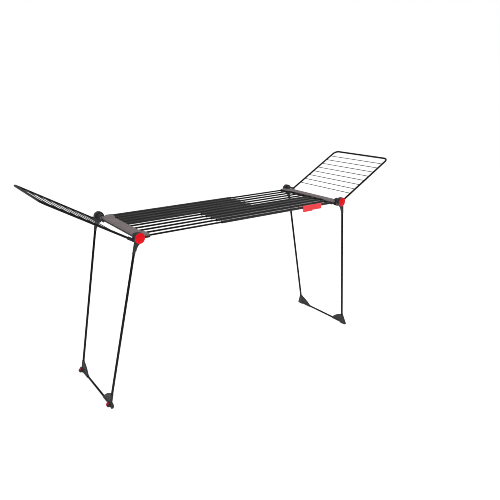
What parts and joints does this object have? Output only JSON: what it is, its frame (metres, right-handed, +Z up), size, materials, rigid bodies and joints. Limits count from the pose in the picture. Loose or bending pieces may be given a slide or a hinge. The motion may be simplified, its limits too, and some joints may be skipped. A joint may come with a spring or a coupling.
{
  "type": "clothes airer",
  "caption": "Free-standing extendable clothes airer: telescoping rod rack between arched crossbars, with folding leg frames, folding wing racks and transport wheels.",
  "frame": {"origin": "middle of the footprint, on the floor", "axes": "+X along the rods towards the end without wheels, +Y towards the far side, +Z up"},
  "size_m": [2.494, 0.5704, 1.2333],
  "materials": {
    "taupe_plastic": "fine moulded texture, satin, warm grey",
    "black_plastic": "fine moulded texture, near black",
    "charcoal_plastic": "fine moulded texture, charcoal",
    "red_plastic": "smooth glossy red",
    "clip_plastic": "smooth semi-gloss light red",
    "wheel_plastic": "satin dark red",
    "natural_plastic": "plain uncoloured guide plastic",
    "black_paint": "powder coat, satin black",
    "charcoal_paint": "powder coat, satin charcoal",
    "grey_paint": "epoxy coat, satin dark grey",
    "zinc_steel": "zinc plated, dull",
    "pad_rubber": "soft matte black"
  },
  "bodies": {
    "left_end": {"left_bar_cover": "taupe_plastic", "left_bar_base": "black_plastic", "left_bar_screws": "zinc_steel", "left_outer_tubes": "charcoal_paint", "left_inner_rods": "black_paint", "left_tube_bushes": "black_plastic", "left_rod_guides": "natural_plastic", "left_hub_near": "charcoal_plastic", "left_hub_far": "charcoal_plastic", "left_pivot_pins": "zinc_steel"},
    "right_end": {"right_bar_cover": "taupe_plastic", "right_bar_base": "black_plastic", "right_bar_screws": "zinc_steel", "right_outer_tubes": "charcoal_paint", "right_inner_rods": "black_paint", "right_tube_bushes": "black_plastic", "right_rod_guides": "natural_plastic", "right_hub_near": "charcoal_plastic", "right_hub_far": "charcoal_plastic", "right_pivot_pins": "zinc_steel", "rod_clip": "clip_plastic"},
    "left_legs": {"left_leg_hub_near": "charcoal_plastic", "left_leg_hub_far": "charcoal_plastic", "left_cap_near": "red_plastic", "left_cap_far": "red_plastic", "left_leg_tube_near": "black_paint", "left_leg_tube_far": "black_paint", "left_foot_bar": "black_paint", "left_foot_near": "charcoal_plastic", "left_foot_far": "charcoal_plastic", "left_foot_pads": "pad_rubber", "left_wheel_axles": "zinc_steel"},
    "right_legs": {"right_leg_hub_near": "charcoal_plastic", "right_leg_hub_far": "charcoal_plastic", "right_cap_near": "red_plastic", "right_cap_far": "red_plastic", "right_leg_tube_near": "black_paint", "right_leg_tube_far": "black_paint", "right_foot_bar": "black_paint", "right_foot_near": "charcoal_plastic", "right_foot_far": "charcoal_plastic", "right_foot_pads": "pad_rubber"},
    "left_wheel_n": {"left_wheel_near": "wheel_plastic"},
    "left_wheel_f": {"left_wheel_far": "wheel_plastic"},
    "left_wing": {"left_wing_frame": "black_paint", "left_wing_wires": "grey_paint", "left_wing_knuckle_near": "charcoal_plastic", "left_wing_knuckle_far": "charcoal_plastic"},
    "right_wing": {"right_wing_frame": "black_paint", "right_wing_wires": "grey_paint", "right_wing_knuckle_near": "charcoal_plastic", "right_wing_knuckle_far": "charcoal_plastic"}
  },
  "joints": [
    {"name": "rack_slide", "type": "slide", "parent": "left_end", "child": "right_end", "axis": [-1, 0, 0], "range_m": [0, 0.42]},
    {"name": "left_legs_fold", "type": "hinge", "parent": "left_end", "child": "left_legs", "pos_m": [-0.76, 0, 0.98], "axis": [0, -1, 0], "range_deg": [0, 99.4]},
    {"name": "right_legs_fold", "type": "hinge", "parent": "right_end", "child": "right_legs", "pos_m": [0.76, 0, 0.98], "axis": [0, 1, 0], "range_deg": [0, 92.6]},
    {"name": "left_wing_fold", "type": "hinge", "parent": "left_end", "child": "left_wing", "pos_m": [-0.76, 0, 0.98], "axis": [0, 1, 0], "range_deg": [0, 150.3]},
    {"name": "right_wing_fold", "type": "hinge", "parent": "right_end", "child": "right_wing", "pos_m": [0.76, 0, 0.98], "axis": [0, -1, 0], "range_deg": [0, 150.3]},
    {"name": "near_wheel_spin", "type": "hinge", "parent": "left_legs", "child": "left_wheel_n", "pos_m": [-0.96689, -0.215, 0.013], "axis": [0, 1, 0], "continuous": true},
    {"name": "far_wheel_spin", "type": "hinge", "parent": "left_legs", "child": "left_wheel_f", "pos_m": [-0.96689, 0.215, 0.013], "axis": [0, 1, 0], "continuous": true}
  ]
}
